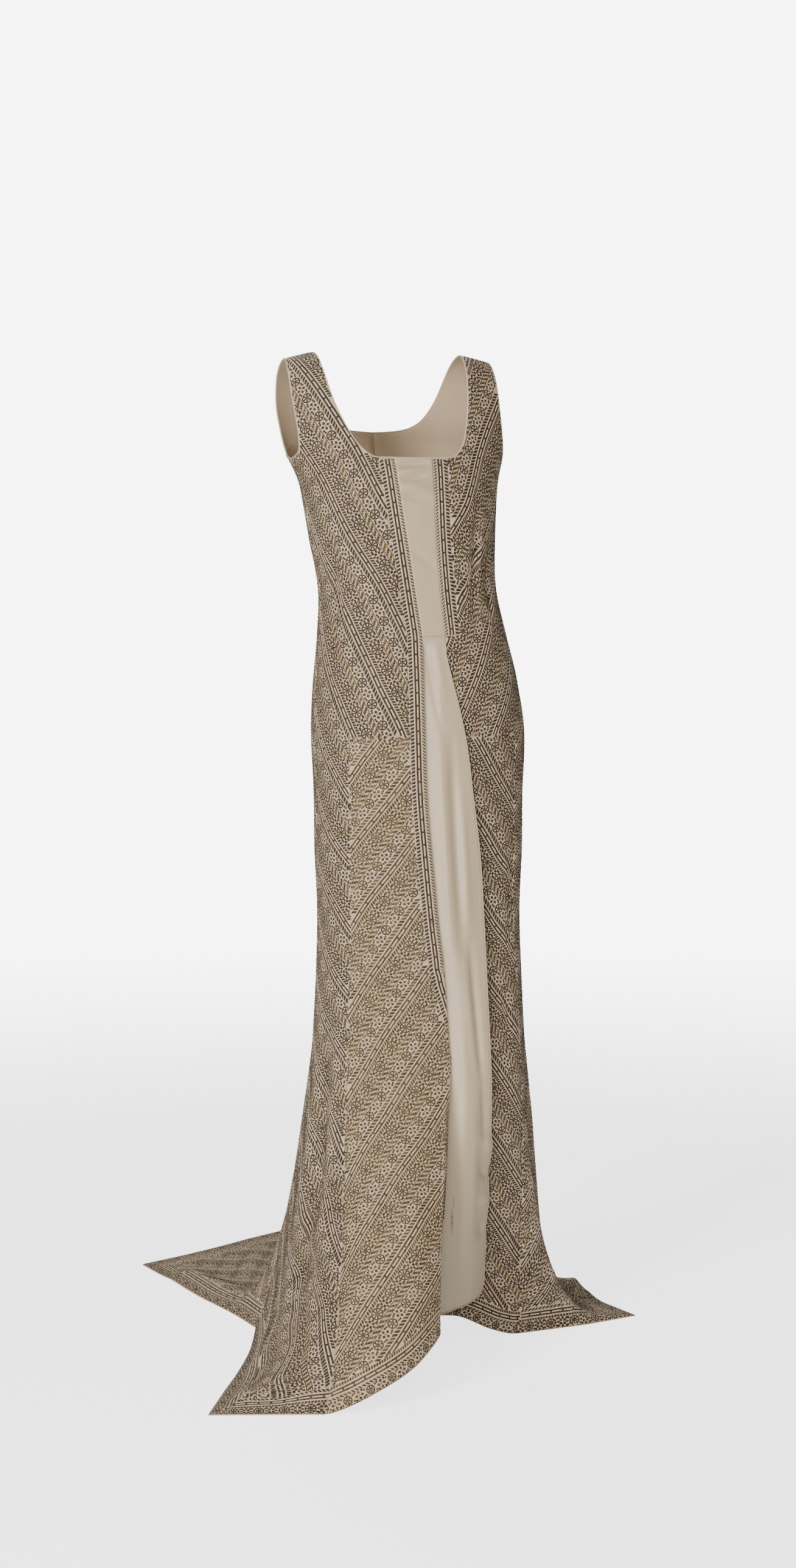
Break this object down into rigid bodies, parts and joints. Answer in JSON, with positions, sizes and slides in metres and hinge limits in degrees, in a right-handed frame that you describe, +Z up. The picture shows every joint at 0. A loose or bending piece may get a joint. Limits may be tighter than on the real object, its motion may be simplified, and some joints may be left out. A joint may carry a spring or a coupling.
{
  "type": "evening dress",
  "caption": "Sleeveless floor-length gown in its worn shape, with scoop neck, bead-covered panels, an open front over a satin panel, and a train.",
  "frame": {"origin": "midway between the two straps, where they rest on the shoulders", "axes": "+Z up the figure, +X to the wearer's left, +Y to the wearer's back, so the front faces -Y"},
  "size_m": [0.7487, 1.0148, 1.4804],
  "materials": {
    "beaded_silk": "cream silk covered with dark bronze and gold glass beads in slanting bands",
    "satin": "plain beige silk satin with a soft sheen",
    "binding": "cream silk bias binding"
  },
  "bodies": {
    "root": {"front_right": "beaded_silk", "front_left": "beaded_silk", "skirt_front_right": "beaded_silk", "skirt_front_left": "beaded_silk", "border_right": "beaded_silk", "border_left": "beaded_silk", "satin_insert": "satin", "satin_panel": "satin", "back_right": "beaded_silk", "back_left": "beaded_silk", "neck_binding": "binding", "arm_binding_right": "binding", "arm_binding_left": "binding"}
  },
  "joints": []
}
